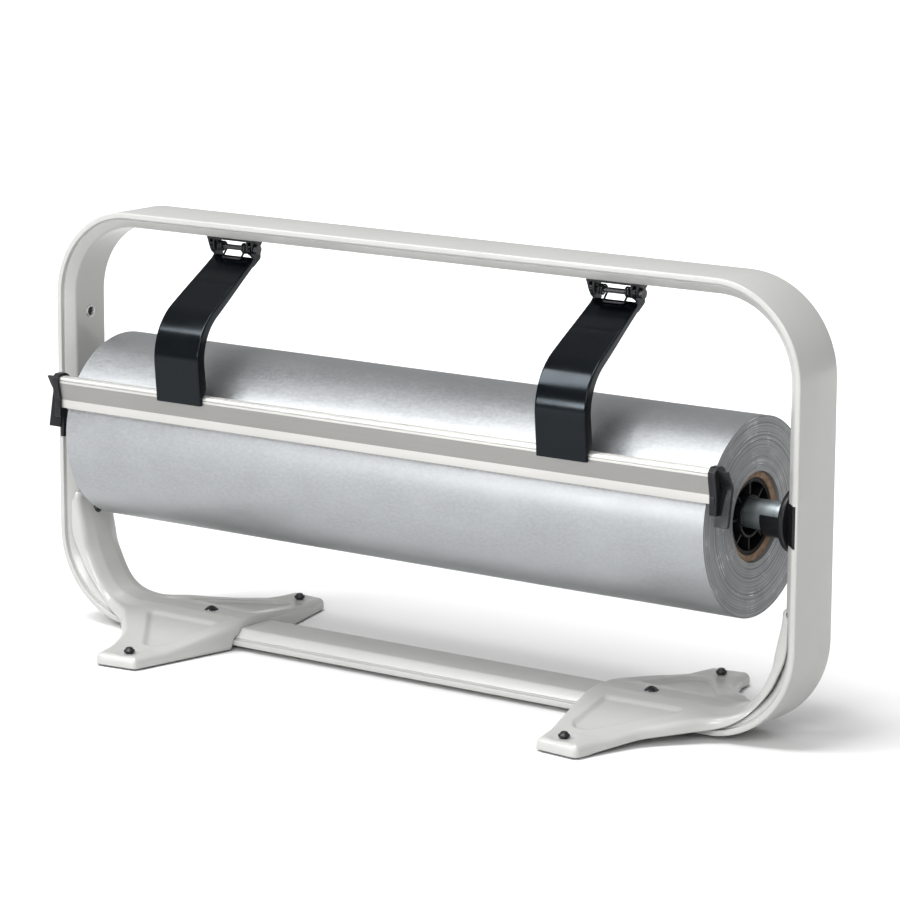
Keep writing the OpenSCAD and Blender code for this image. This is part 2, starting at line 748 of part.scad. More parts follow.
module arm() {
    front_face = arm_line(face_s, 0, 0, arm_end_z);
    back_face = arm_line(face_s, arm_t, arm_t, arm_end_z);
    front_side = arm_line(pin_s, 0, 0, side_end_z);
    back_side = arm_line(pin_s + lobe_r, side_top, side_low, side_end_z);
    cheek_depth = bend_r - side_top;
    cheek = [[pin_s - lobe_r, bend_r - arm_t], [pin_s - lobe_r, bend_r + face_drop],
        [pin_s + lobe_r, bend_r + face_drop], [pin_s + lobe_r, cheek_depth], [pin_s - lobe_r, cheek_depth]];
    color("dimgray") difference() {
        union() {
            along_x(-cheek_in, cheek_in) polygon(concat(front_face, backwards(back_face)));
            for (side = [0, 1]) mirror([side, 0, 0]) {
                along_x(cheek_in, arm_w / 2) polygon(concat(front_side, backwards(back_side)));
                along_x(cheek_in, arm_w / 2) polygon(concat(
                    arm_line(face_s, 0, 0, arm_end_z), backwards(arm_line(face_s, arm_t, arm_t,
                    arm_end_z))));
                along_x(cheek_in, arm_w / 2) polygon([for (q = cheek) [bend_y, bend_z]
                    + q[0] * [cos(arm_slope), sin(arm_slope)]
                    + q[1] * [-sin(arm_slope), cos(arm_slope)]]);
                translate([0, pin_y, pin_z]) rod_x(lobe_r, cheek_in, arm_w / 2);
            }
        }
        translate([0, pin_y, pin_z]) rod_x(pin_d / 2 + run_fit, -arm_w, arm_w);
    }
}

module left_arm() {
    translate([-arm_x, 0, 0]) arm();
}

module right_arm() {
    translate([arm_x, 0, 0]) arm();
}

// The rail's section, or the section grown for a pocket or a cap around it
module rail_section(grow) {
    polygon(grown(rail_outline, grow));
    translate([bead_front + bead_r, bead_mid_z]) {
        circle(r = bead_r + grow);
        translate([0, -bead_r - grow]) square([rail_bead_w - rail_bead_h, rail_bead_h + 2 * grow]);
        translate([rail_bead_w - rail_bead_h, 0]) circle(r = bead_r + grow);
    }
}

module knife_rail() {
    color("lightgray") difference() {
        along_x(-rail_len / 2, rail_len / 2) rail_section(0);
        along_x(-rail_len / 2 - over, rail_len / 2 + over)
            translate([tip_y - blade_t, web_low - over]) square([blade_t, blade_h - blade_show + over]);
    }
}

// Blade with small teeth along its lower edge
module tear_blade() {
    teeth = floor(roll_len / tooth_w);
    edge_x = -teeth * tooth_w / 2;
    shrink = seat / 10;
    color("slategray") translate([0, tip_y - shrink, tip_z]) rotate([90, 0, 0])
        linear_extrude(blade_t - 2 * shrink)
        polygon(concat([[-edge_x, blade_h - shrink], [edge_x, blade_h - shrink]],
            [for (i = [0:teeth - 1], k = [0, 0.5])
                [edge_x + (i + k) * tooth_w, k == 0 ? tooth_h : 0]],
            [[-edge_x, tooth_h]]));
}

// End cap: a sleeve around the rail's end and a hollow finger grip beside it
module end_cap() {
    cap_from = roll_len / 2 + seat * 3;
    rail_end = rail_len / 2 + seat;
    cap_to = rail_end + cap_end;
    color("dimgray") {
        difference() {
            along_x(cap_from, cap_to) rail_section(cap_wall);
            along_x(cap_from - over, rail_end) rail_section(seat / 2);
        }
        translate([rail_end, web_front - cap_wall, cap_low_z])
            cube([cap_end, rail_t + 2 * cap_wall, kink_z - cap_low_z]);
        along_x(rail_end, rail_end + grip_w) polygon(grip_pts);
    }
}

module left_end_cap() {
    mirror([1, 0, 0]) end_cap();
}

module right_end_cap() {
    end_cap();
}

frame_loop();
left_foot();
right_foot();
rubber_feet();
foot_screws();
left_bearing();
right_bearing();
axle_tube();
left_hub();
right_hub();
roll_core();
paper_roll();
left_bracket();
right_bracket();
bracket_screws();
left_hinge_pin();
right_hinge_pin();
left_spring();
right_spring();
left_arm();
right_arm();
knife_rail();
tear_blade();
left_end_cap();
right_end_cap();
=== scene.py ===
import bpy
import bmesh
import math
from math import sin, cos, pi, radians
from mathutils import Vector, Matrix
from mathutils.geometry import delaunay_2d_cdt


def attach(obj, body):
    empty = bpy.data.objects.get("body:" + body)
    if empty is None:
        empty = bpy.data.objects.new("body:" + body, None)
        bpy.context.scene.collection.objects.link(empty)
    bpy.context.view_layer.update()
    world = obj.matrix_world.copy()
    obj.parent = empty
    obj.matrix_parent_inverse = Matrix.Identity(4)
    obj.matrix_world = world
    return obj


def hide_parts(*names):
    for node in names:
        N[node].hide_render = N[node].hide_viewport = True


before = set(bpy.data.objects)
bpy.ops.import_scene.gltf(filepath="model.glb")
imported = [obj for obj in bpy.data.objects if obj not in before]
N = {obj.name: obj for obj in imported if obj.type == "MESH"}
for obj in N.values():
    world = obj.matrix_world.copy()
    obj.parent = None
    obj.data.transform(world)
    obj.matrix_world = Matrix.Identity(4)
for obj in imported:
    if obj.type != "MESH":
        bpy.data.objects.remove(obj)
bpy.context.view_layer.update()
scene = bpy.context.scene
MM = 0.001

# Sizes in millimetres, as in the part's source
LIFT = 3.5                                    # the loop's underside above the table
HALF_W, HALF_H, HALF_D = 291.5, 142.5, 22.5   # half the loop's width, height and depth
TUBE = 11.0                                   # thickness of its section
CORNER_R = 62.0
TOP_Z = LIFT + 2 * HALF_H
POST_HOLE_Z = LIFT + 210.5
AXLE_Z = LIFT + 138.5
ROLL_Z = AXLE_Z - 2.2
ROLL_R, ROLL_HALF = 62.75, 250.0
PAPER_IN = 28.3                               # radius of the paper's bore
PAD_X, PAD_Y = 172, 92.5                      # rubber feet
SADDLE_X = HALF_W - 115                       # screws on the saddles
PIN_Y, PIN_Z = -6.5, TOP_Z - TUBE - 6.8
PLATE_Z = PIN_Z + 4.7                         # underside of the hinge plates
ARM_X, ARM_HALF = 150.0, 18.5
RAIL_HALF = 256.0

SIDES = (("left", -1), ("right", 1))


# Shapes: a part is a list of vertices, in millimetres, with a list of faces

def clamp(x, lo=0.0, hi=1.0):
    return max(lo, min(hi, x))


def smooth(a, b, x):
    """0 up to a, 1 from b on, with a soft rise between."""
    t = clamp((x - a) / (b - a))
    return t * t * (3 - 2 * t)


def fillet(pts, rad, seg=5):
    """Closed outline with every corner rounded to its own radius, in seg steps."""
    n, out = len(pts), []
    for i, (q, r) in enumerate(zip(pts, rad)):
        p = Vector(q)
        if r <= 0:
            out.append(tuple(p))
            continue
        u, w = Vector(pts[i - 1]) - p, Vector(pts[(i + 1) % n]) - p
        lu, lw = u.length, w.length
        u, w = u / lu, w / lw
        ang = math.acos(clamp(u.dot(w), -1, 1))
        if ang > pi - 1e-3:
            out.append(tuple(p))
            continue
        # The rounding takes no more than about half of each side
        d = min(r / math.tan(ang / 2), lu * .49, lw * .49)
        rr = d * math.tan(ang / 2)
        cen = p + (u + w).normalized() * (rr / sin(ang / 2))
        s, e = p + u * d - cen, p + w * d - cen
        a0, a1 = math.atan2(s.y, s.x), math.atan2(e.y, e.x)
        da = (a1 - a0 + pi) % (2 * pi) - pi
        for k in range(seg + 1):
            t = a0 + da * k / seg
            out.append((cen.x + rr * cos(t), cen.y + rr * sin(t)))
    return out


def spline(pts, step):
    """Smooth open curve through the points, sampled about every step."""
    n, out = len(pts), []
    for i in range(n - 1):
        p1, p2 = Vector(pts[i]), Vector(pts[i + 1])
        p0 = Vector(pts[i - 1]) if i > 0 else p1 * 2 - p2
        p3 = Vector(pts[i + 2]) if i + 2 < n else p2 * 2 - p1
        k = max(1, int(round((p2 - p1).length / step)))
        for j in range(k):
            t = j / k
            out.append(tuple(0.5 * ((2 * p1) + (p2 - p0) * t + (2 * p0 - 5 * p1 + 4 * p2 - p3) * t * t
                                    + (3 * p1 - p0 - 3 * p2 + p3) * t ** 3)))
    return out + [tuple(pts[-1])]


def loft(rows, closed=True, ring=False, cap=True):
    """Skin over rows of points. closed joins each row's ends, ring joins the last row to the first."""
    nv, m = len(rows[0]), len(rows)
    verts = [p for r in rows for p in r]
    faces = []
    for i in range(m if ring else m - 1):
        j = (i + 1) % m
        for k in range(nv if closed else nv - 1):
            l = (k + 1) % nv
            faces.append((i * nv + k, i * nv + l, j * nv + l, j * nv + k))
    if cap and closed and not ring:
        faces.append(tuple(range(nv - 1, -1, -1)))
        faces.append(tuple((m - 1) * nv + k for k in range(nv)))
    return verts, faces


def prism(outline, x0, x1):
    """Outline in (y, z) carried along X."""
    return loft([[(x, y, z) for y, z in outline] for x in (x0, x1)])


def turned(profile, center, axis, seg):
    """Profile of (radius, height) turned about X or Z through the center."""
    cx, cy, cz = center
    rows = []
    for i in range(seg):
        c, s = cos(2 * pi * i / seg), sin(2 * pi * i / seg)
        if axis == "X":
            rows.append([(cx + h, cy + r * c, cz + r * s) for r, h in profile])
        else:
            rows.append([(cx + r * c, cy + r * s, cz + h) for r, h in profile])
    return loft(rows, closed=False, ring=True)


def merge(*parts):
    verts, faces = [], []
    for v, f in parts:
        k = len(verts)
        verts += list(v)
        faces += [tuple(i + k for i in q) for q in f]
    return verts, faces


def moved(part, dx):
    v, f = part
    return [(x + dx, y, z) for x, y, z in v], f


def mirrored(part):
    v, f = part
    return [(-x, y, z) for x, y, z in v], f


def on_side(part, s):
    """A part drawn for the right side, or its mirror image for the left."""
    return mirrored(part) if s < 0 else part


def build(name, part, material, angle=35, weld=True):
    """Smooth-shaded object, with edges sharper than the angle kept."""
    verts, faces = part
    me = bpy.data.meshes.new(name)
    me.from_pydata([tuple(c * MM for c in v) for v in verts], [], faces)
    bm = bmesh.new()
    bm.from_mesh(me)
    if weld:
        bmesh.ops.remove_doubles(bm, verts=bm.verts, dist=2e-6)
    bmesh.ops.recalc_face_normals(bm, faces=bm.faces)
    bm.to_mesh(me)
    bm.free()
    me.materials.append(material)
    me.shade_smooth()
    me.set_sharp_from_angle(angle=radians(angle))
    ob = bpy.data.objects.new(name, me)
    scene.collection.objects.link(ob)
    return ob


def piece(name, part, material, body, stands_for=None, angle=35, edge=0, weld=True):
    """Object that moves with a body and, where named, takes the place of a node."""
    ob = build(name, part, material, angle, weld)
    if edge:
        rounded(ob, edge)
    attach(ob, body)
    if stands_for:
        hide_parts(stands_for)
    return ob


def rounded(ob, width):
    m = ob.modifiers.new("edges", "BEVEL")
    m.width, m.segments, m.harden_normals = width * MM, 3, True
    m.limit_method, m.angle_limit = "ANGLE", radians(40)


def bake(ob):
    """Replaces the mesh by what its modifiers make of it."""
    dg = bpy.context.evaluated_depsgraph_get()
    me = bpy.data.meshes.new_from_object(ob.evaluated_get(dg), depsgraph=dg)
    ob.modifiers.clear()
    old, ob.data = ob.data, me
    bpy.data.meshes.remove(old)


def cut(ob, cutters, angle):
    tools = [build("tool", c, ob.data.materials[0]) for c in cutters]
    for t in tools:
        m = ob.modifiers.new("cut", "BOOLEAN")
        m.operation, m.object, m.solver = "DIFFERENCE", t, "EXACT"
    bake(ob)
    for t in tools:
        bpy.data.objects.remove(t)
    ob.data.shade_smooth()
    ob.data.set_sharp_from_angle(angle=radians(angle))


# Materials

class Nodes:
    """A new material with short calls for its node tree, whose noises run in the object's own space."""

    def __init__(self, name, color, rough, metal=0.0, coat=0.0, coat_rough=0.1, spec=0.5, tint=(1, 1, 1)):
        self.m = bpy.data.materials.new(name)
        self.m.use_nodes = True
        self.t = self.m.node_tree
        self.b = self.t.nodes["Principled BSDF"]
        i = self.b.inputs
        i["Base Color"].default_value = (*color, 1)
        i["Roughness"].default_value = rough
        i["Metallic"].default_value = metal
        i["Coat Weight"].default_value = coat
        i["Coat Roughness"].default_value = coat_rough
        i["Specular IOR Level"].default_value = spec
        i["Specular Tint"].default_value = (*tint, 1)
        self.co = self.t.nodes.new("ShaderNodeTexCoord").outputs["Object"]

    def new(self, kind, **kw):
        n = self.t.nodes.new("ShaderNode" + kind)
        for k, v in kw.items():
            setattr(n, k, v)
        return n

    def link(self, a, b):
        self.t.links.new(a, b)

    def noise(self, scale, detail=3, rough=0.5, stretch=(1, 1, 1)):
        place = self.new("Mapping")
        place.inputs["Scale"].default_value = stretch
        self.link(self.co, place.inputs["Vector"])
        n = self.new("TexNoise")
        n.inputs["Scale"].default_value = scale
        n.inputs["Detail"].default_value = detail
        n.inputs["Roughness"].default_value = rough
        self.link(place.outputs["Vector"], n.inputs["Vector"])
        return n.outputs["Fac"]

    def ramp(self, fac, stops):
        """Stops are (position, colour or grey)."""
        n = self.new("ValToRGB")
        e = n.color_ramp.elements
        while len(e) < len(stops):
            e.new(0.5)
        for el, (p, c) in zip(e, stops):
            el.position = p
            el.color = (*c, 1) if isinstance(c, tuple) else (c, c, c, 1)
        self.link(fac, n.inputs["Fac"])
        return n.outputs["Color"]

    def math(self, op, *terms):
        n = self.new("Math", operation=op)
        for k, v in enumerate(terms):
            if isinstance(v, (int, float)):
                n.inputs[k].default_value = v
            else:
                self.link(v, n.inputs[k])
        return n.outputs[0]

    def mix(self, fac, a, b):
        n = self.new("Mix", data_type="RGBA")
        for k, v in ((0, fac), (6, a), (7, b)):
            if isinstance(v, tuple):
                n.inputs[k].default_value = (*v, 1)
            else:
                self.link(v, n.inputs[k])
        return n.outputs[2]

    def color(self, out):
        self.link(out, self.b.inputs["Base Color"])

    def rough(self, out):
        self.link(out, self.b.inputs["Roughness"])

    def bump(self, height, strength, distance, under=None):
        n = self.new("Bump")
        n.inputs["Strength"].default_value = strength
        n.inputs["Distance"].default_value = distance
        self.link(height, n.inputs["Height"])
        if under:
            self.link(under, n.inputs["Normal"])
        self.link(n.outputs["Normal"], self.b.inputs["Normal"])
        return n.outputs["Normal"]


def varied(name, color, rough, tone, sheen, relief, **kw):
    """Colour, roughness and fine relief that each follow a noise of their own.

    tone and sheen are a noise's values followed by a ramp's stops, relief is a noise's scale and
    the bump's strength and distance.
    """
    k = Nodes(name, color, rough, **kw)
    k.color(k.ramp(k.noise(*tone[:-1]), tone[-1]))
    k.rough(k.ramp(k.noise(*sheen[:-1]), sheen[-1]))
    k.bump(k.noise(relief[0], 2), *relief[1:])
    return k.m


def steel(name, color, rough, stretch, freq=900, metal=1.0):
    k = Nodes(name, color, rough, metal=metal)
    grain = k.noise(freq, 3, 0.6, stretch)
    darker = tuple(v * 0.8 for v in color)
    k.color(k.mix(k.ramp(k.noise(25, 4), [(0.35, 0.0), (0.65, 1.0)]), darker, color))
    k.rough(k.ramp(grain, [(0.3, rough * 0.8), (0.75, rough * 1.25)]))
    k.bump(grain, 0.1, 0.0001)
    return k.m


def board():
    k = Nodes("core_board", (0.3, 0.2, 0.13), 0.85, spec=0.2)
    fibre = k.noise(260, 5, 0.65)
    k.color(k.ramp(fibre, [(0.25, (0.17, 0.11, 0.07)), (0.55, (0.29, 0.20, 0.135)),
                           (0.8, (0.42, 0.31, 0.22))]))
    k.bump(fibre, 0.5, 0.0004)
    return k.m


def foil():
    k = Nodes("foil_paper", (0.29, 0.3, 0.308), 0.4, metal=0.9)
    mottle = k.ramp(k.noise(34, 4, 0.6, (0.6, 1, 1)),
                    [(0.3, (0.268, 0.278, 0.286)), (0.7, (0.306, 0.317, 0.326))])
    grain = k.noise(620, 3, 0.6, (0.6, 1.0, 1.0))
    k.color(k.mix(k.ramp(grain, [(0.35, 0.0), (0.68, 0.34)]), mottle, (0.41, 0.42, 0.43)))
    k.rough(k.ramp(grain, [(0.3, 0.36), (0.7, 0.45)]))
    waves = k.bump(k.noise(45, 2, 0.5, (0.6, 1, 1)), 0.3, 0.0003)
    k.bump(k.noise(300, 2, 0.5, (0.5, 1, 1)), 0.26, 0.0001, under=waves)
    return k.m


def layers():
    """Edges of the paper's wraps: rings that follow the distance from the roll's axis."""
    k = Nodes("paper_layers", (0.2, 0.205, 0.21), 0.46, metal=0.5)
    sep = k.new("SeparateXYZ")
    k.link(k.co, sep.inputs[0])
    y, z = sep.outputs["Y"], k.math("SUBTRACT", sep.outputs["Z"], ROLL_Z * MM)
    r = k.math("SQRT", k.math("ADD", k.math("MULTIPLY", y, y), k.math("MULTIPLY", z, z)))

    def rings(scale, detail):
        n = k.new("TexNoise", noise_dimensions="1D")
        k.link(r, n.inputs["W"])
        n.inputs["Scale"].default_value = scale
        n.inputs["Detail"].default_value = detail
        return n.outputs["Fac"]

    fine, wide = rings(2400, 2), rings(700, 4)
    both = k.math("ADD", k.math("MULTIPLY", fine, 0.45), k.math("MULTIPLY", wide, 0.55))
    base = k.ramp(both, [(0.36, (0.12, 0.125, 0.13)), (0.47, (0.2, 0.205, 0.21)),
                         (0.66, (0.26, 0.27, 0.275))])
    # Lighter flecks, where a spotty noise and fine rings meet
    spots = k.ramp(k.noise(70, 5, 0.65), [(0.56, 0.0), (0.68, 1.0)])
    lines = k.ramp(rings(1100, 2), [(0.55, 0.0), (0.63, 1.0)])
    k.color(k.mix(k.math("MULTIPLY", spots, lines), base, (0.62, 0.63, 0.64)))
    k.rough(k.ramp(k.noise(80, 3), [(0.3, 0.38), (0.7, 0.55)]))
    k.bump(both, 0.28, 0.0003)
    return k.m


def anodised(name, shade):
    """Extruded aluminium, drawn along X."""
    def warm(v):
        return v, v * 0.99, v * 0.955

    k = Nodes(name, warm(shade), 0.34, metal=0.88)
    k.color(k.ramp(k.noise(18, 3, 0.5, (0.4, 1, 1)),
                   [(0.3, warm(shade * 0.965)), (0.7, warm(shade * 1.035))]))
    k.rough(k.ramp(k.noise(700, 3, 0.6, (0.02, 1, 1)), [(0.3, 0.40), (0.75, 0.52)]))
    k.bump(k.noise(240, 2, 0.5, (0.02, 1, 1)), 0.05, 0.0001)
    return k.m


M_ENAMEL = varied("enamel", (0.36, 0.36, 0.35), 0.32,
                  (14, 4, [(0.3, (0.35, 0.35, 0.34)), (0.7, (0.372, 0.372, 0.362))]),
                  (60, 3, [(0.3, 0.29), (0.75, 0.40)]),
                  (900, 0.08, 0.0002), coat=0.35, coat_rough=0.16, spec=0.45)
# Its reflections are tinted blue: a painted bluish reflection
M_GLOSS = varied("gloss_black", (0.001, 0.0013, 0.002), 0.2,
                 (40, 3, [(0.35, (0.0007, 0.001, 0.0016)), (0.7, (0.0016, 0.0021, 0.003))]),
                 (120, 4, 0.5, (0.3, 1, 1), [(0.35, 0.12), (0.7, 0.18)]),
                 (300, 0.04, 0.0002), spec=0.19, tint=(0.76, 0.9, 1.0))
M_SATIN = varied("satin_black", (0.006, 0.0065, 0.0075), 0.34,
                 (60, 3, [(0.3, (0.004, 0.0044, 0.0052)), (0.75, (0.008, 0.0086, 0.010))]),
                 (150, 3, [(0.3, 0.28), (0.75, 0.42)]),
                 (1400, 0.12, 0.0002), spec=0.24)
# Copy of the satin black for the hubs deep inside the core: rougher, and darker, the darker tone being
# painted shade for the recess
M_HUB_SHADE = varied("matt_black_shaded", (0.004, 0.0043, 0.005), 0.5,
               (60, 3, [(0.3, (0.003, 0.0033, 0.004)), (0.75, (0.006, 0.0065, 0.0075))]),
               (150, 3, [(0.3, 0.42), (0.75, 0.6)]),
               (900, 0.1, 0.0002), spec=0.12)
M_RUBBER = varied("rubber", (0.010, 0.010, 0.011), 0.35,
                  (90, 4, [(0.3, (0.005, 0.005, 0.006)), (0.8, (0.010, 0.010, 0.012))]),
                  (200, 2, [(0.3, 0.3), (0.8, 0.42)]),
                  (1600, 0.2, 0.0002), spec=0.4)
M_SCREW = varied("screw_black", (0.02, 0.021, 0.023), 0.14,
                 (120, 4, [(0.3, (0.014, 0.015, 0.017)), (0.8, (0.04, 0.042, 0.045))]),
                 (400, 2, [(0.3, 0.12), (0.8, 0.22)]),
                 (2000, 0.06, 0.0001), metal=0.6, coat=0.6)
M_BOARD, M_FOIL, M_LAYERS = board(), foil(), layers()
M_ANOD = anodised("anodised", 0.48)
# Darker copy of the anodised aluminium for the rail's sloping face: painted shade for a face that leans down
M_SLOPE_SHADE = anodised("anodised_painted_shade", 0.25)
# Darker copy of the anodised aluminium for the crown's fine grooves: painted shade in the grooves
M_GROOVE_SHADE = anodised("anodised_groove_shade", 0.4)
M_ZINC = steel("zinc_tube", (0.48, 0.54, 0.57), 0.4, (1, 0.04, 0.04))
M_RIM = steel("hole_rim", (0.62, 0.63, 0.63), 0.3, (1, 1, 1), freq=500)
# Near-black material for the plugs in the posts' holes: painted shade inside the holes
M_HOLE_SHADE = steel("hole_painted_shade", (0.03, 0.03, 0.032), 0.6, (1, 1, 1), freq=500, metal=0.3)
M_PIN = steel("pin_steel", (0.05, 0.05, 0.053), 0.3, (0.05, 1, 1), metal=0.8)
M_WIRE = steel("spring_wire", (0.03, 0.03, 0.033), 0.3, (1, 1, 1), freq=600, metal=0.8)
M_BLADE = steel("blade_steel", (0.30, 0.30, 0.30), 0.35, (0.05, 1, 1))

# Nodes whose solids are shown as they are
KEPT = {"axle_tube": M_ZINC, "left_hub": M_HUB_SHADE, "right_hub": M_HUB_SHADE,
        "left_hinge_pin": M_PIN, "right_hinge_pin": M_PIN, "tear_blade": M_BLADE}
for node, m in KEPT.items():
    for s in N[node].material_slots:
        s.material = m


# Frame loop: its section in (depth under the outer face, y)

half = [(0, -HALF_D), (3.75, -HALF_D), (4.3, -19.5), (5.2, -20.08), (TUBE, -14.6)]
section = fillet(half + [(u, -v) for u, v in reversed(half)],
                 [1.1, 0.7, 0.35, 0.3, 3.2, 3.2, 0.3, 0.35, 0.7, 1.1])
CORNER_STEPS = 28


def loop_stations():
    """Corner centres with the directions round them, in the XZ plane."""
    out, zc = [], LIFT + HALF_H
    for qx, qz, a0 in ((1, 1, 0), (-1, 1, 90), (-1, -1, 180), (1, -1, 270)):
        cx, cz = qx * (HALF_W - CORNER_R), zc + qz * (HALF_H - CORNER_R)
        for k in range(CORNER_STEPS + 1):
            a = radians(a0 + 90 * k / CORNER_STEPS)
            out.append((cx, cz, cos(a), sin(a)))
    return out


loop = build("loop", loft([[(cx + nx * (CORNER_R - u), v, cz + nz * (CORNER_R - u)) for u, v in section]
                           for cx, cz, nx, nz in loop_stations()], ring=True), M_ENAMEL, 50)
window = prism([(-23.5, AXLE_Z - 13.2), (23.5, AXLE_Z - 13.2), (23.5, AXLE_Z + 13.2), (-23.5, AXLE_Z + 13.2)],
               HALF_W - 12, HALF_W - 1.6)
hole = turned([(0, 0), (3, 0), (3, 8), (0, 8)], (HALF_W - 11.5, 0, POST_HOLE_Z), "X", 40)
cut(loop, [on_side(tool, s) for _, s in SIDES for tool in (window, hole)], 50)
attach(loop, "frame")
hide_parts("frame_loop")

# Pressed rims round the two holes of the posts, and a near-black plug inside each hole: painted shade for the
# hole's depth
hole_at = (HALF_W - TUBE, 0, POST_HOLE_Z)
rim = turned([(3.0, 0.6), (3.0, -0.15), (3.3, -0.35), (3.9, -0.32), (4.6, -0.05), (4.7, 0.3), (3.0, 0.6)],
             hole_at, "X", 40)
well = turned([(0, 1.2), (3.05, 1.2), (3.05, 6.0), (0, 6.0)], hole_at, "X", 32)
for side, s in SIDES:
    piece(side + "_post_hole_rim", on_side(rim, s), M_RIM, "frame", angle=60)
    piece(side + "_post_hole_shade", on_side(well, s), M_HOLE_SHADE, "frame", angle=40)


# Feet, laid out in (s, y): s runs along the loop's inner face, from the middle out and up the post

RAIL_Z = LIFT + TUBE
ARC_S = HALF_W - CORNER_R
ARC_R = CORNER_R - TUBE
S_UP = ARC_S + ARC_R * pi / 2
S_END = S_UP + 90 - (LIFT + CORNER_R)


def on_foot(s, y, h):
    """Point at a height h off the loop's inner face."""
    if s <= ARC_S:
        return s, y, RAIL_Z + h
    if s <= S_UP:
        a = (s - ARC_S) / ARC_R
        return ARC_S + (ARC_R - h) * sin(a), y, LIFT + CORNER_R - (ARC_R - h) * cos(a)
    return ARC_S + ARC_R - h, y, LIFT + CORNER_R + s - S_UP


def rail_profile(ay):
    """Height of the loop's section off its inner face at a depth."""
    if ay < 20.5:
        return -max(0, ay - 13.9) * 6.2 / 6.6
    return -7.1 if ay < HALF_D else -99


def subdivided(pts, step):
    """Closed outline with points no further apart than the step."""
    out = []
    for i, p in enumerate(pts):
        q = pts[(i + 1) % len(pts)]
        k = max(1, math.ceil(math.hypot(q[0] - p[0], q[1] - p[1]) / step))
        out += [(p[0] + (q[0] - p[0]) * j / k, p[1] + (q[1] - p[1]) * j / k) for j in range(k)]
    return out


front = [(138.6, -17), (158.3, -103.4), (189.8, -106.6), (194, -90), (205.5, -59.5), (236, -25.5),
         (258, -18.2), (S_END, -18.2)]
radii = [6, 3, 4, 22, 40, 30, 60, 4]
back_in = [0, 0, 3.5, 5.0, 3.0, 0, 0, 0]     # how much nearer the middle the back half's points are
outline = subdivided(fillet(front + [(a - d, -b) for (a, b), d in zip(front, back_in)][::-1],
                            radii + radii[::-1], 7), 2.4)
panel = fillet([(154, 19.5), (160, 66), (166, 74), (176, 74), (217, 19)], [4, 6, 7, 9, 4], 4)
FILLET_R = 4.2                               # rounding from the upper face to the skirt
SKIRT_STEPS = 4


def tilt(s):
    """Angle at which the skirt leaves the top, 90 where it stands upright."""
    return radians(88 - 12 * smooth(228, 258, s))


def strip_height(s):
    """Height of the strip's face, which stands off the loop in the corner."""
    return 4.2 + 4.8 * smooth(250, 286, s) - 5.9 * smooth(300, S_END - 4, s)


def skirt_low(s, ay):
    """Height of the skirt's lower edge: near the table under the toe, on the loop along the strip."""
    if s < 186:
        return -13.0
    h = -13.0 + 6.9 * clamp((97 - ay) / 70)
    b = smooth(232, 274, s)
    return h * (1 - b) - (0.3 + 3.2 * smooth(288, 312, s)) * b


def seg_dist(p, a, b):
    px, py = p[0] - a[0], p[1] - a[1]
    bx, by = b[0] - a[0], b[1] - a[1]
    t = clamp((px * bx + py * by) / (bx * bx + by * by))
    return math.hypot(px - t * bx, py - t * by)


def inside(p, poly):
    odd = False
    for (ax, ay), (bx, by) in zip(poly, poly[-1:] + poly[:-1]):
        if (ay > p[1]) != (by > p[1]) and p[0] < (bx - ax) * (p[1] - ay) / (by - ay) + ax:
            odd = not odd
    return odd


def top_height(s, y):
    """Height of the upper face, without its rounded edge."""
    ay = abs(y)
    flat = 7 + 8 * clamp((s - 139) / 100)
    ramp = 4.3 - 9.0 * clamp((ay - flat) / (80 - flat))
    b = smooth(212, 244, s)
    # Raised middle of the saddle and the strip, with sloping shoulders up the strip
    shoulder = 2.9 * clamp((ay - 7.5) / 8.5) * (1 - 0.6 * smooth(290, 330, s))
    step = 0.7 * smooth(8.0, 11.5, ay) * smooth(146, 154, s)
    h = (ramp - step) * (1 - b) + (strip_height(s) - shoulder) * b
    # Sunk panel in front of and behind the saddle
    if 150 < s < 222 and 16 < ay < 78 and inside((s, ay), panel):
        e = min(seg_dist((s, ay), panel[i - 1], panel[i]) for i in range(len(panel)))
        h -= 2.1 * smooth(0.0, 2.8, e)
    # Dish round each rubber foot's nipple
    return h - (1 - smooth(6.2, 10.5, math.hypot(s - PAD_X, ay - PAD_Y)))


def edge_drop(s, d):
    """Drop of the rounded edge at a distance inside the outline."""
    reach = FILLET_R * sin(tilt(s))
    if d >= reach:
        return 0.0
    return FILLET_R * (1 - cos(math.asin(clamp((reach - d) / FILLET_R, -1, 1))))


def outward(poly):
    """Unit normals at the points of a closed outline."""
    n, out = len(poly), []
    for i in range(n):
        (ax, ay), (bx, by) = poly[i - 1], poly[(i + 1) % n]
        l = math.hypot(bx - ax, by - ay)
        out.append(((by - ay) / l, (ax - bx) / l))
    area = sum(poly[i - 1][0] * poly[i][1] - poly[i][0] * poly[i - 1][1] for i in range(n))
    return [(-a, -b) for a, b in out] if area < 0 else out


def edge_dist(p, reach=14):
    """Distance from the foot's outline, or the reach where it lies further off."""
    return min([seg_dist(p, outline[i - 1], outline[i]) for i in range(len(outline))
                if abs(outline[i][0] - p[0]) < reach and abs(outline[i][1] - p[1]) < reach] or [reach])


def foot_points(normals):
    """Points of the upper face with their distances from the outline: rings, then a grid."""
    pts = []
    for d in (0.0, 0.25, 0.8, 1.7, 2.9, 4.2):
        for (px, py), (nx, ny) in zip(outline, normals):
            p = (px - nx * d, py - ny * d)
            if d == 0 or edge_dist(p) >= d * 0.93:
                pts.append((p, d))
    grid, s = 1.5, 139.0
    while s < S_END:
        for k in range(int(210 / grid) + 1):
            p = (s, k * grid - 105)
            if abs(p[1]) > 34 and s > 225 or not inside(p, outline):
                continue
            d = edge_dist(p)
            if d > 5.2:
                pts.append((p, d))
        s += grid
    return pts


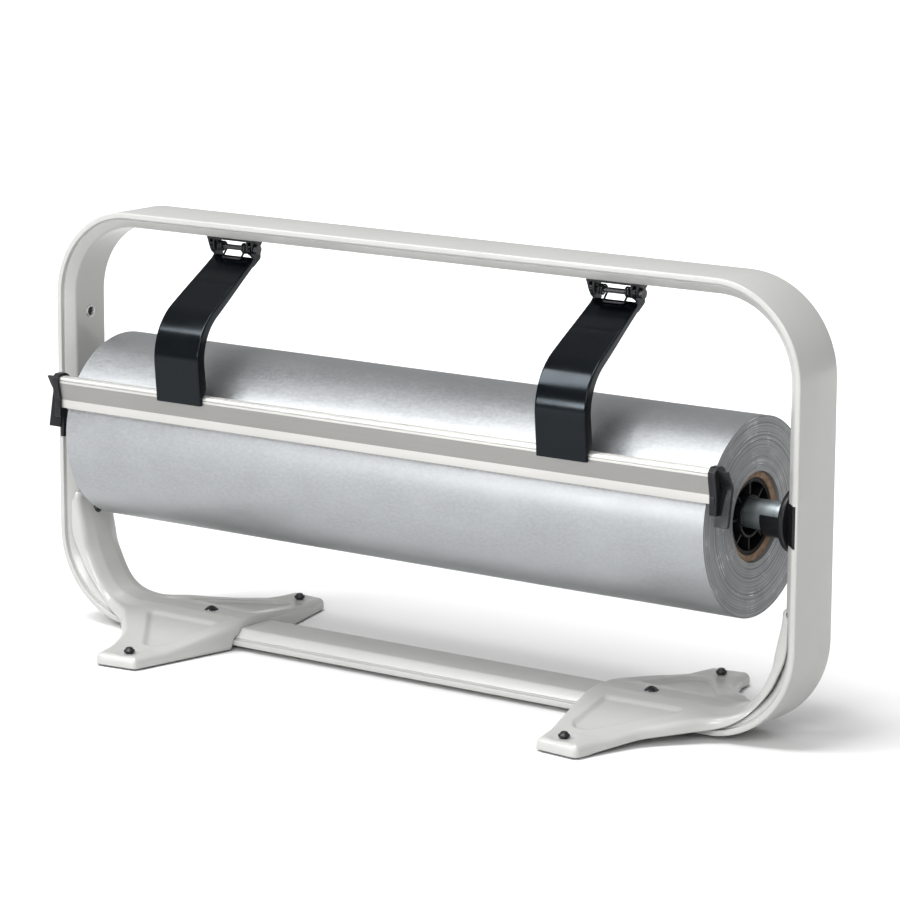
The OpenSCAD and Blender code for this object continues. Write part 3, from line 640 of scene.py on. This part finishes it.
def foot_shape():
    n, normals = len(outline), outward(outline)
    pts, dist = zip(*foot_points(normals))
    rim = [(i, (i + 1) % n) for i in range(n)]
    flat, _, tris, origin = delaunay_2d_cdt([Vector(p) for p in pts], rim, [list(range(n))], 1, 1e-4)[:4]
    verts = []
    for p, o in zip(flat, origin):
        verts.append(on_foot(p.x, p.y, top_height(p.x, p.y) - edge_drop(p.x, dist[o[0]] if o else 5.0)))
    faces = [tuple(t) for t in tris]
    # Skirt, hung on the outline's points, with its last stretch up the post drawn in to the post's face
    index = {o[0]: k for k, o in enumerate(origin) if o and o[0] < n}
    last = [index[i] for i in range(n)]
    for j in range(1, SKIRT_STEPS + 1):
        row = []
        for (s, y), (nx, ny) in zip(outline, normals):
            f = tilt(s)
            h0 = top_height(s, y) - edge_drop(s, 0)
            low = skirt_low(s, abs(y))
            if s < 142.6 and abs(y) < 23.6:
                low = max(low, rail_profile(abs(y)) + 0.9)
            end = smooth(S_END - 7, S_END - 2, s)
            low = low * (1 - end) + 0.2 * end
            t = max(0.2, h0 - low) / sin(f) * j / SKIRT_STEPS
            row.append(len(verts))
            verts.append(on_foot(s + nx * cos(f) * t, y + ny * cos(f) * t, h0 - sin(f) * t))
        for i in range(n):
            k = (i + 1) % n
            faces.append((last[i], last[k], row[k], row[i]))
        last = row
    return verts, faces


foot = foot_shape()
for side, s in reversed(SIDES):
    ob = piece(side + "_pressed_foot", on_side(foot, s), M_ENAMEL, "frame",
               side + "_foot", angle=60)
    if sum(f.normal.z * f.area for f in ob.data.polygons) < 0:
        ob.data.flip_normals()
    m = ob.modifiers.new("sheet", "SOLIDIFY")
    m.thickness, m.offset = 1.8 * MM, -1

# Rubber feet, each with a nipple through the toe
pad = [(0, 0), (6.0, 0), (6.8, 0.5), (7.0, 1.2), (6.7, 6.6), (2.4, 6.9), (2.4, 8.9), (3.5, 9.1),
       (3.75, 9.7), (3.6, 10.5), (3.0, 11.0), (2.5, 11.2), (2.35, 11.6), (2.2, 12.1), (1.6, 12.35),
       (0.8, 12.2), (0, 12.15)]
pads = [turned(pad, (sx * PAD_X, sy * PAD_Y, 0), "Z", 40) for sx in (-1, 1) for sy in (-1, 1)]
piece("foot_pads", merge(*pads), M_RUBBER, "frame", "rubber_feet", angle=50)


# Screws

def screw(r, h, reach, shank):
    """Domed head of radius r and height h on a shank, standing on Z."""
    rc = (r * r + h * h) / (2 * h)
    prof = [(0, h)]
    for k in range(1, 9):
        a = math.asin(r / rc) * k / 8
        prof.append((rc * sin(a), h - rc + rc * cos(a)))
    prof += [(r * 0.985, -0.05), (shank, -0.05), (shank, -reach), (0, -reach)]
    return turned(prof, (0, 0, 0), "Z", 48)


def set_on(part, origin, up):
    """Stands a part that is drawn on Z on a place and a direction."""
    m = Vector(up).to_track_quat("Z", "Y").to_matrix().to_4x4()
    m.translation = Vector(origin)
    return [tuple(m @ Vector(p)) for p in part[0]], part[1]


def cross(key, low, origin, up):
    """Two crossed bars that cut a screw's recess, from a height above its seat."""
    bar, faces = prism([(-key * .18, low), (key * .18, low), (key * .3, 5), (-key * .3, 5)], -key, key)
    return [set_on((pts, faces), origin, up) for pts in (bar, [(-y, x, z) for x, y, z in bar])]


screws = [((sx * SADDLE_X, 0, RAIL_Z + 4.3), (0, 0, 1)) for sx in (-1, 1)]
screws += [((sx * (HALF_W - TUBE - 3.9), 0, 77), (-sx, 0, 0)) for sx in (-1, 1)]
ob = build("saddle_screws", merge(*[set_on(screw(4.9, 2.6, 9, 2.4), o, u) for o, u in screws]), M_SCREW, 50)
cut(ob, [c for o, u in screws for c in cross(2.4, 1.2, o, u)], 50)
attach(ob, "frame")
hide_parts("foot_screws")

small = [((sx * ARM_X + dx, -0.5, PLATE_Z), (0, 0, -1)) for sx in (-1, 1) for dx in (-5, 5)]
piece("plate_screws", merge(*[set_on(screw(3.0, 1.7, 5, 1.7), o, u) for o, u in small]), M_SCREW,
      "frame", "bracket_screws", angle=50)


# Bearings

def bearing():
    """Flange, block through the post's window, and open cup."""
    z, fx = AXLE_Z, HALF_W - TUBE - 0.2 - 4.5
    flange = turned([(0, 4.4), (19.6, 4.4), (20.3, 4.0), (20.5, 3.4), (20.5, 1.0), (20.2, 0.35),
                     (19.6, 0.05), (16, 0.0), (0, 0.0)], (fx, 0, z), "X", 96)
    plan = [(fx + 2, -13.6), (HALF_W - 10.2, -15.4), (HALF_W - 4.9, -20.4), (HALF_W - 4.0, -22.2),
            (HALF_W - 1.8, -22.2)]
    plan += [(x, -y) for x, y in reversed(plan)]
    block = loft([[(x, y, h) for x, y in plan] for h in (z - 13, z + 13)])
    a0, a1, steps = 168, 328, 48
    inner, outer, length = 9.65, 13.0, 17.5
    wall = fillet([(inner, 0), (outer, 0), (outer, length), (inner, length)], [0.5, 1.2, 0, 0], 4)
    rows = []
    for k in range(steps + 1):
        a = radians(a0 + (a1 - a0) * k / steps)
        rows.append([(fx - 17 + h, r * cos(a), z + r * sin(a)) for r, h in wall])
    return merge(flange, block, loft(rows))


cup_bearing = bearing()
for side, s in reversed(SIDES):
    piece(side + "_cup_bearing", on_side(cup_bearing, s), M_SATIN, "frame",
          side + "_bearing", edge=0.35, weld=False)


# Paper roll

SKIN_R = ROLL_R - 0.12                       # leaves room for the skin's slight waves
ROLL_SEG, ROLL_STEPS = 160, 60


def roll_shape():
    rows = []
    for k in range(ROLL_STEPS + 1):
        x, row = -ROLL_HALF + 2 * ROLL_HALF * k / ROLL_STEPS, []
        for i in range(ROLL_SEG):
            a = 2 * pi * i / ROLL_SEG
            r = SKIN_R + 0.05 * sin(3 * a + x * 0.013) + 0.05 * sin(x * 0.045 + 2 * a) * sin(x * 0.011)
            row.append((x, r * cos(a), ROLL_Z + r * sin(a)))
        rows.append(row)
    # Ends, where the wraps stand in and out by a few tenths
    prof, r = [(SKIN_R, -0.02)], SKIN_R - 0.3
    while r > PAPER_IN:
        off = 0.05 * sin(r * 7.1) + 0.06 * sin(r * 2.3 + 1) + 0.05 * sin(r * 17.7 + 2)
        prof.append((r, min(0.0, off - 0.2)))
        r -= 0.3
    prof += [(PAPER_IN, -0.5), (PAPER_IN, -4.0)]
    end = turned(prof, (ROLL_HALF, 0, ROLL_Z), "X", ROLL_SEG)
    return merge(loft(rows, cap=False), end, mirrored(end))


ob = piece("foil_roll", roll_shape(), M_FOIL, "roll", "paper_roll", angle=30)
ob.data.materials.append(M_LAYERS)
for f in ob.data.polygons:
    if abs(f.normal.x) > 0.5 or math.hypot(f.center.y, f.center.z - ROLL_Z * MM) < 62.2 * MM:
        f.material_index = 1

# Cardboard tube of the roll, its ends a little inside the paper
core = turned([(24.35, 0), (24.5, -0.25), (26, -0.1), (28.0, -0.2), (28.2, 0.3), (28.2, 493.7), (28.0, 494.2),
               (26, 494.1), (24.5, 494.25), (24.35, 494), (24.35, 0)], (3 - ROLL_HALF, 0, ROLL_Z), "X", 120)
piece("cardboard_tube", core, M_BOARD, "roll", "roll_core", angle=35)


# Knife rail, its section in (y, z): a web down to the tear edge, a sloping face and a crown

TEAR_R, TEAR_ANGLE = ROLL_R + 0.3, radians(16.6)
TIP_Y = -TEAR_R * cos(TEAR_ANGLE)
TIP_Z = ROLL_Z + TEAR_R * sin(TEAR_ANGLE)
WEB_F = TIP_Y - 1.2
WEB_B = WEB_F + 1.6
KINK_Z = TIP_Z + 7
SLOPE_Z = TIP_Z + 18.4
LEAN = 2.2
TOP_F = WEB_F - LEAN                         # the sloping face's upper edge


def rail_section():
    """Outline, and the three fine grooves in it."""
    t, z = TOP_F, SLOPE_Z
    top = z + 4.3
    grooves = [(t + 0.5, z + 1.6), (t + 1.95, top - 0.6), (t + 4.5, top - 0.6)]
    pts = [(WEB_F, TIP_Z + 1.4), (WEB_F, KINK_Z), (t, z), (t - 0.05, z + 1.3), grooves[0], (t, z + 1.95),
           (t + 0.25, z + 2.9), (t + 0.8, z + 3.7), (t + 1.6, top - 0.1), grooves[1], (t + 2.4, top),
           (t + 4.1, top), grooves[2], (t + 4.9, top), (t + 6.3, top - 0.05), (t + 8.2, top - 0.9),
           (t + 9.15, z + 2.1), (t + 8.2, z + 0.8), (t + 6.0, z + 0.2), (t + 2.6, z + 0.1),
           (WEB_B - 0.1, KINK_Z + 0.2), (WEB_B, TIP_Z + 1.4)]
    rad = [0.25, 0.3, 0.2, 0.1, 0.1, 0.1, 0.6, 0.6, 0.2, 0.1, 0.1, 0.1, 0.1, 0.1, 1.2, 1.6, 1.6, 1.2,
           0.8, 0.8, 1.2, 0.25]
    return fillet(pts, rad, 3), grooves


sec, grooves = rail_section()
xs = [RAIL_HALF * (k / 20 - 1) for k in range(41)]
ob = piece("knife_profile", loft([[(x, y, z) for y, z in sec] for x in xs]), M_ANOD, "knife",
           "knife_rail", angle=24)
# Second material: the sloping face's darker copy, painted shade
ob.data.materials.append(M_SLOPE_SHADE)
# Third material: the grooves' darker copy, painted shade
ob.data.materials.append(M_GROOVE_SHADE)
for f in ob.data.polygons:
    y, z = f.center.y / MM, f.center.z / MM
    if min(math.hypot(y - gy, z - gz) for gy, gz in grooves) < 0.42:
        f.material_index = 2
    elif KINK_Z < z < SLOPE_Z and y < WEB_F and abs(f.normal.x) < 0.5:
        f.material_index = 1


# Arms: down a slope from the pin, round a bend, and down to the rail with a slight lean

SLOPE, ARM_LEAN, BEND_R = radians(33), radians(5), 40.0
LOW_FRONT = WEB_F - LEAN - 0.3 - 2 / cos(ARM_LEAN)
BEND_LOW_Z = SLOPE_Z + 2.15 + 21
BEND_LOW_Y = LOW_FRONT - 21 * math.tan(ARM_LEAN)
BY, BZ = BEND_LOW_Y + BEND_R * cos(ARM_LEAN), BEND_LOW_Z + BEND_R * sin(ARM_LEAN)
BEND = pi / 2 + ARM_LEAN - SLOPE             # angle of the bend
PIN_S = (PIN_Y - BY) * cos(SLOPE) + (PIN_Z - BZ) * sin(SLOPE)
PIN_N = (PIN_Z - BZ) * cos(SLOPE) - (PIN_Y - BY) * sin(SLOPE) - BEND_R
ARM_END = SLOPE_Z - 1.7
ARM_WALL = 2.0


def arm_at(t):
    """Front-face point and inward direction: t < 0 on the slope, 0 to 1 round the bend, then down."""
    if t < 0:
        return (BY - BEND_R * sin(SLOPE) - t * cos(SLOPE), BZ + BEND_R * cos(SLOPE) - t * sin(SLOPE)), \
            (sin(SLOPE), -cos(SLOPE))
    if t <= 1:
        a = pi / 2 + SLOPE + BEND * t
        return (BY + BEND_R * cos(a), BZ + BEND_R * sin(a)), (-cos(a), -sin(a))
    d = t - 1
    return (BY - BEND_R * cos(ARM_LEAN) + d * sin(ARM_LEAN),
            BZ - BEND_R * sin(ARM_LEAN) - d * cos(ARM_LEAN)), (cos(ARM_LEAN), sin(ARM_LEAN))


def arm_section(w, deep):
    """Channel of half width w, open inward, in (x, depth); the extra points keep its front flat."""
    b = w - ARM_WALL
    return fillet([(-w, deep), (-w, 1.45), (-w, 0), (1.5 - w, 0), (w - 1.5, 0), (w, 0), (w, 1.45), (w, deep),
                   (b, deep), (b, ARM_WALL), (-b, ARM_WALL), (-b, deep)],
                  [1.0, 0, 1.3, 0, 0, 1.3, 0, 1.0, 0.4, 0.8, 0.8, 0.4], 4)


def arm_shape():
    face_top = PIN_S - 2.7
    drop = (BZ - BEND_R * sin(ARM_LEAN) - ARM_END) / cos(ARM_LEAN)
    bend = BEND_R * BEND
    total = face_top + bend + drop
    ts = [-face_top * (1 - k / 16) for k in range(16)]
    ts += [k / 24 for k in range(25)]
    ts += [1 + drop * k / 10 for k in range(1, 11)]
    rows = []
    for t in ts:
        along = face_top + (t if t < 0 else bend * t if t <= 1 else bend + t - 1)
        deep = 4.6 + 3.6 * along / total
        if total - along < 9:
            deep = max(2.2, deep - (9 - (total - along)) * 1.1)
        w = ARM_HALF - 1.6 * (1 - smooth(0, 55, along))
        (y, z), (ny, nz) = arm_at(t)
        rows.append([(x, y + ny * d, z + nz * d) for x, d in arm_section(w, deep)])
    # Cheeks from the face up round the pin, as outlines in (distance along the slope, depth)
    o = [(PIN_S - 6, 0.3), (PIN_S - 3.0, -0.2), (PIN_S - 4.3, -PIN_N + 1.6)]
    for k in range(9):
        a = radians(160 - 160 * k / 8)
        o.append((PIN_S + 4.4 * cos(a), -PIN_N - 4.4 * sin(a)))
    o += [(PIN_S + 4.4, 1.5), (PIN_S + 2.5, 4.6), (PIN_S - 7, 4.7)]
    o = fillet(o, [0.8, 0.6, 0.8] + [0] * 9 + [2.0, 1.6, 0.4], 3)
    side_view = [(BY - (BEND_R - dep) * sin(SLOPE) + ss * cos(SLOPE),
                  BZ + (BEND_R - dep) * cos(SLOPE) + ss * sin(SLOPE)) for ss, dep in o]
    w = ARM_HALF - 1.6
    cheek = prism(side_view, w - ARM_WALL, w)
    boss = turned([(0, -1.0), (0, 1.65), (2.5, 1.65), (3.0, 1.2), (3.0, -1.0), (0, -1.0)],
                  (16.8, PIN_Y, PIN_Z), "X", 40)
    return merge(loft(rows), mirrored(cheek), cheek, boss)


arm = arm_shape()
for side, s in SIDES:
    piece(side + "_moulded_arm", moved(arm, s * ARM_X), M_GLOSS, "knife",
          side + "_arm", edge=0.3, angle=40, weld=False)


# Brackets, springs

def bracket():
    """Plate under the top rail, with two ears on the pin and two gussets outside the arm's cheeks."""
    pz, ear_r = PLATE_Z, 4.1
    out = [prism(fillet([(PIN_Y - 4, pz), (PIN_Y + 9, pz), (PIN_Y + 9, pz + 1.9), (PIN_Y - 4, pz + 1.9)],
                        [0.5, 0.5, 0.2, 0.2], 3), -19.5, 19.5)]
    ear = [(PIN_Y - ear_r, pz + 0.5), (PIN_Y - ear_r, PIN_Z)]
    for k in range(1, 12):
        a = radians(180 + 180 * k / 12)
        ear.append((PIN_Y + ear_r * cos(a), PIN_Z + ear_r * sin(a)))
    ear += [(PIN_Y + ear_r, PIN_Z), (PIN_Y + ear_r, pz + 0.5)]
    ear = prism(ear, 13.3, 14.7)
    # The gusset tapers from the plate's end down
    gusset = loft([[(x, PIN_Y + y, z) for x, y in ((x_out, y0), (x_out, y1), (17.1, y1), (17.1, y0))]
                   for x_out, y0, y1, z in ((19.4, -3.9, 7, pz + 0.4), (17.5, -3.5, 3.0, pz - 6.4))])
    for s in (-1, 1):
        out += [on_side(ear, s), on_side(gusset, s)]
    return merge(*out)


def tube(path, r, sides):
    """Round wire along a path."""
    rows, up = [], Vector((0.1, 0.2, 1))
    n = len(path)
    for i in range(n):
        t = (Vector(path[min(i + 1, n - 1)]) - Vector(path[max(i - 1, 0)])).normalized()
        up = (up - t * up.dot(t)).normalized()
        side = t.cross(up)
        p = Vector(path[i])
        rows.append([tuple(p + (up * cos(2 * pi * k / sides) + side * sin(2 * pi * k / sides)) * r)
                     for k in range(sides)])
    return loft(rows)


def spring_path():
    """Right half of the double torsion spring about the pin: short tail, coil, and leg to the arm's face."""
    coil_r, x_out, turns, pitch = 2.95, 12.2, 2 + 147 / 360, 1.9
    steps = int(40 * turns)
    out = [(x_out, -2.4, coil_r - 0.1), (x_out, -1.2, coil_r)]
    for k in range(steps + 1):
        t = k / steps
        a = radians(90 - t * 360 * turns)
        out.append((x_out - t * pitch * turns, coil_r * cos(a), coil_r * sin(a)))
    down = Vector((0, -cos(SLOPE), -sin(SLOPE)))
    off_face = Vector((0, -sin(SLOPE), cos(SLOPE)))
    corner = Vector((x_out - pitch * turns, 0, 0)) + down * 6.2 - off_face * (PIN_N - 0.9)
    bend_r = 1.5
    for k in range(7):
        a = radians(90 * k / 6)
        out.append(tuple(corner - down * bend_r * (1 - sin(a)) - Vector((bend_r * (1 - cos(a)), 0, 0))))
    return out


half_path = spring_path()
path = half_path + [(-x, y, z) for x, y, z in reversed(half_path)]
wire = tube([(x, y + PIN_Y, z + PIN_Z) for x, y, z in path], 0.7, 14)
plate = bracket()
for side, s in SIDES:
    piece(side + "_torsion_wire", moved(wire, s * ARM_X), M_WIRE, "knife",
          side + "_spring", angle=80)
    piece(side + "_hinge_plate", moved(plate, s * ARM_X), M_SATIN, "frame",
          side + "_bracket", edge=0.3, weld=False)


# End caps, their section in (y, z) like the rail's

CAP_WALL = 1.7
CAP_IN, CAP_FACE = RAIL_HALF - 1.8, RAIL_HALF + 0.2


def end_cap():
    """The solid end with its grip, and the sleeve over the rail's last millimetres, open inward."""
    f, b, t, z, g = WEB_F, WEB_B, TOP_F, SLOPE_Z, CAP_WALL
    hook = fillet([(f - g, TIP_Z - 5.3), (f - g, KINK_Z), (t - g, z - 0.2), (t - g, z + 3.2),
                   (t + 1.2, z + 6.1), (t + 7.2, z + 6.1), (t + 10.8, z + 3.6), (t + 10.6, z + 1.0),
                   (t + 8.0, z - 1.2), (b + g - 1.6, z - 1.6), (b + g, KINK_Z), (b + g, TIP_Z - 5.3)],
                  [1.2, 2, 1, 1.5, 2.5, 2.5, 2, 1, 1.5, 1.5, 1.5, 1.2], 4)
    inner = fillet([(f - 0.1, TIP_Z + 0.4), (f - 0.1, KINK_Z), (t - 0.1, z), (t - 0.1, z + 3.2),
                    (t + 1.2, z + 4.5), (t + 7.0, z + 4.5), (t + 9.3, z + 3.0), (t + 9.2, z + 1.6),
                    (t + 7.6, z + 0.1), (b, z - 0.3), (b + 0.1, KINK_Z), (b + 0.1, TIP_Z + 0.4)],
                   [0.2, 1, 0.3, 1, 1.5, 1.5, 1.5, 1, 1, 0.5, 1, 0.2], 4)
    block = prism(hook, CAP_FACE, CAP_FACE + 3.0)
    sleeve, bore = (loft([[(x, py, pz) for py, pz in o] for x in (CAP_IN, CAP_FACE)], cap=False)
                    for o in (hook, inner))
    n = len(hook)
    rim = ([(CAP_IN, py, pz) for py, pz in hook + inner],
           [(i, (i + 1) % n, n + (i + 1) % n, n + i) for i in range(n)])
    # Finger grip, bent at its waist
    wy, wz = b + 3.0, KINK_Z + 4.7
    front = spline([(wy - 5.6, wz + 10.5), (wy - 2.4, wz + 4.4), (wy, wz), (wy - 1.0, wz - 6),
                    (wy - 4.3, wz - 24)], 1.6)
    grip = prism(front + [(y + 2.4, z) for y, z in reversed(front)], CAP_FACE + 0.2, CAP_FACE + 9.8)
    # Small raised patch low on the front
    y0, y1, z0, z1 = f - g - 0.35, f - g + 0.5, TIP_Z + 1.4, TIP_Z + 6.6
    patch = prism(fillet([(y0, z0), (y0, z1), (y1, z1), (y1, z0)], [0.3, 0.3, 0, 0], 3),
                  CAP_IN + 0.9, CAP_FACE + 1.9)
    return merge(block, grip, patch), merge(sleeve, bore, rim)


cap, sleeve = end_cap()
for side, s in reversed(SIDES):
    piece(side + "_cap", on_side(cap, s), M_SATIN, "knife", side + "_end_cap",
          edge=0.5, weld=False)
    piece(side + "_cap_sleeve", on_side(sleeve, s), M_SATIN, "knife", angle=40)


# Floor, light and camera, in metres

def stage():
    reach = 14
    me = bpy.data.meshes.new("floor")
    me.from_pydata([(-reach, -reach, 0), (reach, -reach, 0), (reach, reach, 0), (-reach, reach, 0)], [],
                   [(0, 1, 2, 3)])
    ob = bpy.data.objects.new("floor", me)
    scene.collection.objects.link(ob)
    k = Nodes("floor_white", (0.74, 0.74, 0.74), 0.7, spec=0.2)
    k.color(k.ramp(k.noise(3, 2), [(0.3, 0.735), (0.7, 0.745)]))
    me.materials.append(k.m)


stage()
world = bpy.data.worlds.new("studio")
scene.world = world
world.use_nodes = True
world.node_tree.nodes["Background"].inputs[0].default_value = (1, 1, 1, 1)
world.node_tree.nodes["Background"].inputs[1].default_value = 0.5


def area(name, loc, target, size, power, size_y=None, spread=180):
    """Area light of a size in metres and a power in watts, square unless size_y is given."""
    l = bpy.data.lights.new(name, "AREA")
    l.energy, l.size, l.spread = power, size, radians(spread)
    if size_y:
        l.shape, l.size_y = "RECTANGLE", size_y
    o = bpy.data.objects.new(name, l)
    o.location = loc
    o.rotation_euler = (Vector(target) - Vector(loc)).to_track_quat("-Z", "Y").to_euler()
    scene.collection.objects.link(o)


area("front", (0.95, -2.15, 1.23), (0, 0, 0.13), 1.4, 40, 1.0)
area("side", (-0.98, -2.12, 0.42), (0.1, 0, 0.13), 0.36, 10, 0.28)
area("left_soft", (-1.05, -1.15, 1.55), (0.1, -0.1, 0.22), 0.55, 20, 0.75)
area("top", (-0.5, -1.2, 4.0), (0, 0, 0.1), 1.7, 150)
area("edge", (-0.35, 0.1, 2.2), (0, 0, 0.2), 0.35, 4)
area("backdrop", (-1.6, 3.5, 3.4), (-1.6, 3.5, 0), 7.0, 170, 5.0, 44)

# The photograph's camera, as solved from the object's edges
cam = bpy.data.cameras.new("camera")
cam.lens, cam.sensor_width = 151.1, 36
cam.clip_start, cam.clip_end = 0.05, 40
co = bpy.data.objects.new("camera", cam)
right, up, back = (Vector(v) for v in ((0.81749, 0.57592, 0.00462), (-0.1198, 0.1622, 0.97946),
                                      (0.56334, -0.80125, 0.20159)))
m = Matrix((right, up, back)).transposed().to_4x4()
m.translation = Vector((1.39051, -1.94783, 0.6436))
co.matrix_world = m
scene.collection.objects.link(co)
scene.camera = co
scene.view_settings.view_transform = "Standard"
